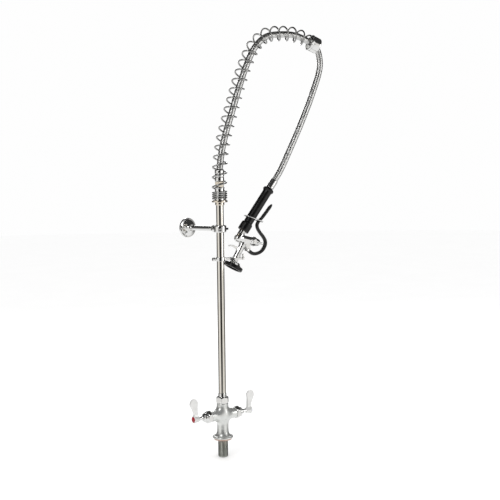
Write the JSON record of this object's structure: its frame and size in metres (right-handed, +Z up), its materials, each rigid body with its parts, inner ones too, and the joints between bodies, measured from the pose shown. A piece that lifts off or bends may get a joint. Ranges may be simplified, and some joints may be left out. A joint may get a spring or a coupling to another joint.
{
  "type": "pre-rinse faucet",
  "caption": "Deck-mounted pre-rinse faucet: lever-handle mixer, tall riser with wall bracket and hook, spring-arched braided hose and squeeze-lever spray valve.",
  "frame": {"origin": "on the riser's axis at the deck's surface, the underside of the deck gasket", "axes": "+Z up along the riser, +X to the side where the hose comes down, with the arm of the cold handle turned 10 degrees from it, +Y towards the back"},
  "size_m": [0.4399, 0.1808, 1.2219],
  "materials": {
    "chrome": "polished chrome plate on brass castings and tube",
    "shank_metal": "machined, threaded, unpolished",
    "brass": "machined",
    "spring_steel": "bright drawn stainless wire",
    "braid": "braided stainless hose cover",
    "nut_metal": "bright nickelled brass",
    "black_rubber": "moulded, satin",
    "lever_black": "dipped coating over steel, satin",
    "gasket": "soft moulded washer",
    "dark_screw": "black oxide",
    "red_index": "plain coloured button",
    "blue_index": "plain coloured button"
  },
  "bodies": {
    "base": {"deck_shank": "shank_metal", "deck_gasket": "gasket", "mixer_body": "chrome", "hot_bonnet": "chrome", "hot_cartridge": "brass", "cold_bonnet": "chrome", "cold_cartridge": "brass", "riser_nut": "chrome"},
    "hot_tap": {"hot_stem": "chrome", "hot_handle": "chrome", "hot_screw": "shank_metal", "hot_index": "red_index"},
    "cold_tap": {"cold_stem": "chrome", "cold_handle": "chrome", "cold_screw": "shank_metal", "cold_index": "blue_index"},
    "riser": {"riser_sleeve": "chrome", "riser_orings": "black_rubber", "riser_pipe": "chrome", "finger_hook": "chrome", "hook_screw": "chrome", "spring_seat": "chrome", "seat_screw": "dark_screw", "hose_adapter": "chrome", "hose_washer": "black_rubber", "hose_nut": "nut_metal", "hose_ferrule": "chrome", "overhead_hose": "braid", "overhead_spring": "spring_steel", "spring_collar": "chrome"},
    "bracket": {"bracket_clamp": "chrome", "bracket_screws": "dark_screw", "bracket_rod": "chrome", "bracket_locknut": "chrome", "wall_flange": "chrome"},
    "sprayer": {"drop_hose": "braid", "grip_ferrule": "chrome", "grip_tube": "chrome", "grip": "black_rubber", "grip_skirt": "black_rubber", "valve_body": "chrome", "valve_bonnet": "chrome", "valve_spring": "spring_steel", "lever_pin": "shank_metal", "spray_head": "chrome", "head_gasket": "black_rubber", "spray_face": "shank_metal", "face_screw": "shank_metal", "spray_bumper": "black_rubber"},
    "plunger": {"valve_stem": "chrome", "valve_washer": "black_rubber"},
    "lever": {"squeeze_lever": "lever_black"},
    "hold_ring": {"hold_ring": "spring_steel"}
  },
  "joints": [
    {"name": "hot_tap_turn", "type": "hinge", "parent": "base", "child": "hot_tap", "pos_m": [0, 0, 0.07], "axis": [0.9848, 0.1736, 0], "range_deg": [0, 90]},
    {"name": "cold_tap_turn", "type": "hinge", "parent": "base", "child": "cold_tap", "pos_m": [0, 0, 0.07], "axis": [0.9848, 0.1736, 0], "range_deg": [0, 90]},
    {"name": "riser_swivel", "type": "hinge", "parent": "base", "child": "riser", "pos_m": [0, 0, 0.118], "axis": [0, 0, 1], "range_deg": [-90, 90]},
    {"name": "bracket_turn", "type": "hinge", "parent": "riser", "child": "bracket", "pos_m": [0, 0, 0.598], "axis": [0, 0, 1], "range_deg": [-60, 120]},
    {"name": "sprayer_swing", "type": "hinge", "parent": "riser", "child": "sprayer", "pos_m": [0.31295, 0, 1.11285], "axis": [0, -1, 0], "range_deg": [0, 45], "deforming": ["drop_hose"]},
    {"name": "lever_squeeze", "type": "hinge", "parent": "sprayer", "child": "lever", "pos_m": [0.084, 0, 0.537], "axis": [0, -1, 0], "range_deg": [0, 5.5], "stiffness_Nm_per_rad": 2, "springref_deg": -8.59},
    {"name": "stem_push", "type": "slide", "parent": "sprayer", "child": "plunger", "axis": [-0.9659, 0, 0.2588], "range_m": [0, 0.0027]},
    {"name": "ring_slide", "type": "slide", "parent": "sprayer", "child": "hold_ring", "axis": [0.5821, 0, 0.8131], "range_m": [-0.01, 0.012]}
  ],
  "couplings": [
    {"joint": "stem_push", "follows": "lever_squeeze", "m_per_rad": 0.026}
  ]
}
